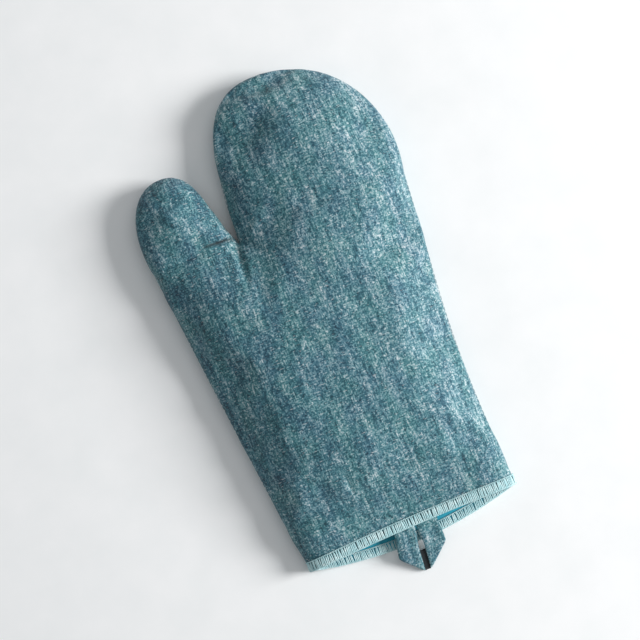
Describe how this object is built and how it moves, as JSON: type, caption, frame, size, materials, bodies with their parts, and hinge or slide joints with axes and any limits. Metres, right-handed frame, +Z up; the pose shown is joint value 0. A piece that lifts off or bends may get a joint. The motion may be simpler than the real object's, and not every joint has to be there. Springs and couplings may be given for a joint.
{
  "type": "oven mitt",
  "caption": "Padded oven mitt with a thumb, linen outer, quilt batting, cotton lining, overlocked cuff and a swinging tape loop to hang it by.",
  "frame": {"origin": "on the surface that the mitt lies on, under the middle of everything that it covers, hanging loop included", "axes": "+Y from the cuff to the fingertips, the longest way; +Z up out of the front panel, the shortest; the thumb is on the -X side and the loop at the -Y end"},
  "size_m": [0.1922, 0.3623, 0.0272],
  "materials": {
    "linen_chambray": "teal and off-white linen chambray, plain weave with slubs",
    "batting": "undyed felted cotton batting",
    "lining_cotton": "plain woven teal cotton",
    "overlock_thread": "pale aqua polyester overlock thread",
    "seam_thread": "spun teal sewing thread"
  },
  "bodies": {
    "mitt": {"shell_front": "linen_chambray", "shell_back": "linen_chambray", "batting_front": "batting", "batting_back": "batting", "lining_front": "lining_cotton", "lining_back": "lining_cotton", "overlock_front": "overlock_thread", "overlock_back": "overlock_thread", "shell_seam_stitches": "seam_thread", "lining_seam_stitches": "seam_thread", "loop_tails": "linen_chambray", "loop_bar_tacks": "seam_thread"},
    "loop": {"hanging_loop": "linen_chambray", "loop_edge_stitches": "seam_thread"}
  },
  "joints": [
    {"name": "loop_swing", "type": "hinge", "parent": "mitt", "child": "loop", "pos_m": [0.00331, -0.14827, 0.0129], "axis": [-1, 0, 0], "range_deg": [0, 90]}
  ]
}
